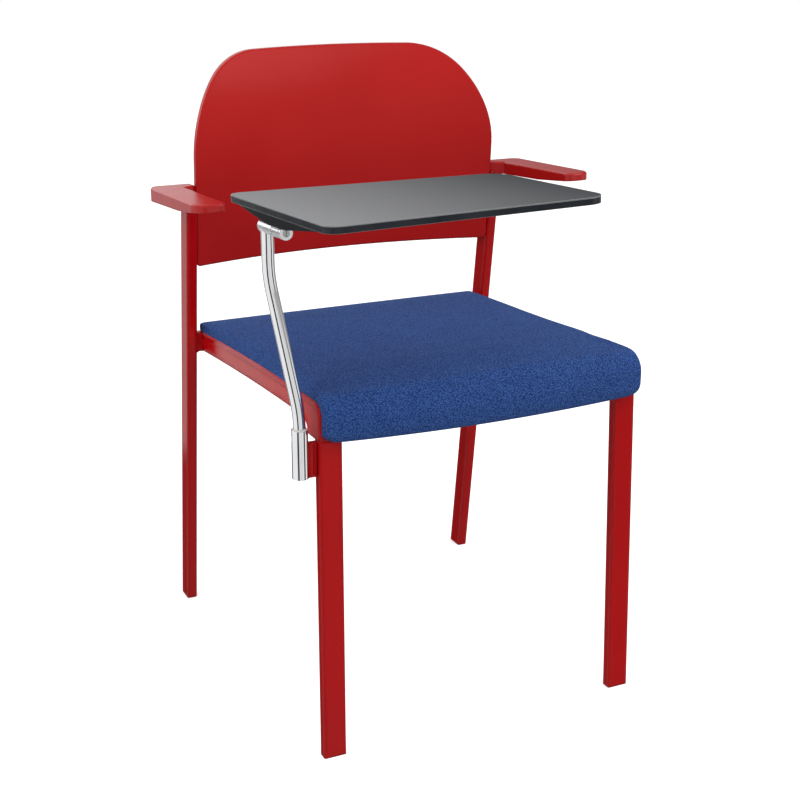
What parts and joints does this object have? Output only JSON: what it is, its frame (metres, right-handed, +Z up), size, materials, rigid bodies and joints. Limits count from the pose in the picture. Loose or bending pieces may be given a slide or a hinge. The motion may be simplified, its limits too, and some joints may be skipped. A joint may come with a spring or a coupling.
{
  "type": "training chair with writing tablet",
  "caption": "Stacking training chair with a red tube frame, bowed back panel, padded seat and a writing tablet that flips up and swings out on a bent post.",
  "frame": {"origin": "on the floor below the middle of the whole chair, tablet down", "axes": "+Z up, the seat's front towards -Y, the tablet's post on the -X side, which is the sitter's right"},
  "size_m": [0.575, 0.7075, 0.8305],
  "materials": {
    "red_frame": "gloss red powder coat",
    "red_plastic": "fine-grained red moulding",
    "blue_fabric": "blue crepe weave",
    "shell_ply": "plain moulded ply",
    "black_plastic": "matt black moulding",
    "white_bush": "natural nylon",
    "chrome_post": "bright chrome plate",
    "steel_screws": "zinc-plated steel",
    "grey_laminate": "satin grey laminate",
    "tablet_edge": "black edge band",
    "tablet_board": "board with a dark backing sheet"
  },
  "bodies": {
    "frame": {"leg_front_left": "red_frame", "leg_front_right": "red_frame", "leg_rear_left": "red_frame", "leg_rear_right": "red_frame", "leg_caps": "red_frame", "rail_side_left": "red_frame", "rail_side_right": "red_frame", "rail_cross_rear": "red_frame", "rail_cross_under": "red_frame", "foot_glides": "black_plastic", "seat_board": "shell_ply", "seat_cushion": "blue_fabric", "seat_screws": "steel_screws", "back_panel": "red_plastic", "back_lugs": "red_frame", "back_screws": "steel_screws", "arm_bar_left": "red_frame", "arm_bar_right": "red_frame", "arm_pad_left": "red_plastic", "arm_pad_right": "red_plastic", "arm_screws": "steel_screws", "socket_bracket": "red_frame", "socket_sleeve": "chrome_post", "socket_bush": "white_bush", "socket_plug": "black_plastic"},
    "post": {"post_bar": "chrome_post", "post_knuckle": "chrome_post", "post_stop_pin": "steel_screws"},
    "tablet": {"hinge_washer": "white_bush", "hinge_pin": "steel_screws", "tablet_knuckle": "chrome_post", "tablet_block": "black_plastic", "tablet_core": "tablet_board", "tablet_band": "tablet_edge", "tablet_top": "grey_laminate", "tablet_screws": "steel_screws"}
  },
  "joints": [
    {"name": "tablet_swivel", "type": "hinge", "parent": "frame", "child": "post", "pos_m": [-0.2418, -0.1695, 0.41], "axis": [0, 0, -1], "range_deg": [-8, 90]},
    {"name": "tablet_flip", "type": "hinge", "parent": "post", "child": "tablet", "pos_m": [-0.2659, -0.1454, 0.6757], "axis": [0.0174, -0.9984, 0.0532], "range_deg": [0, 100]}
  ]
}
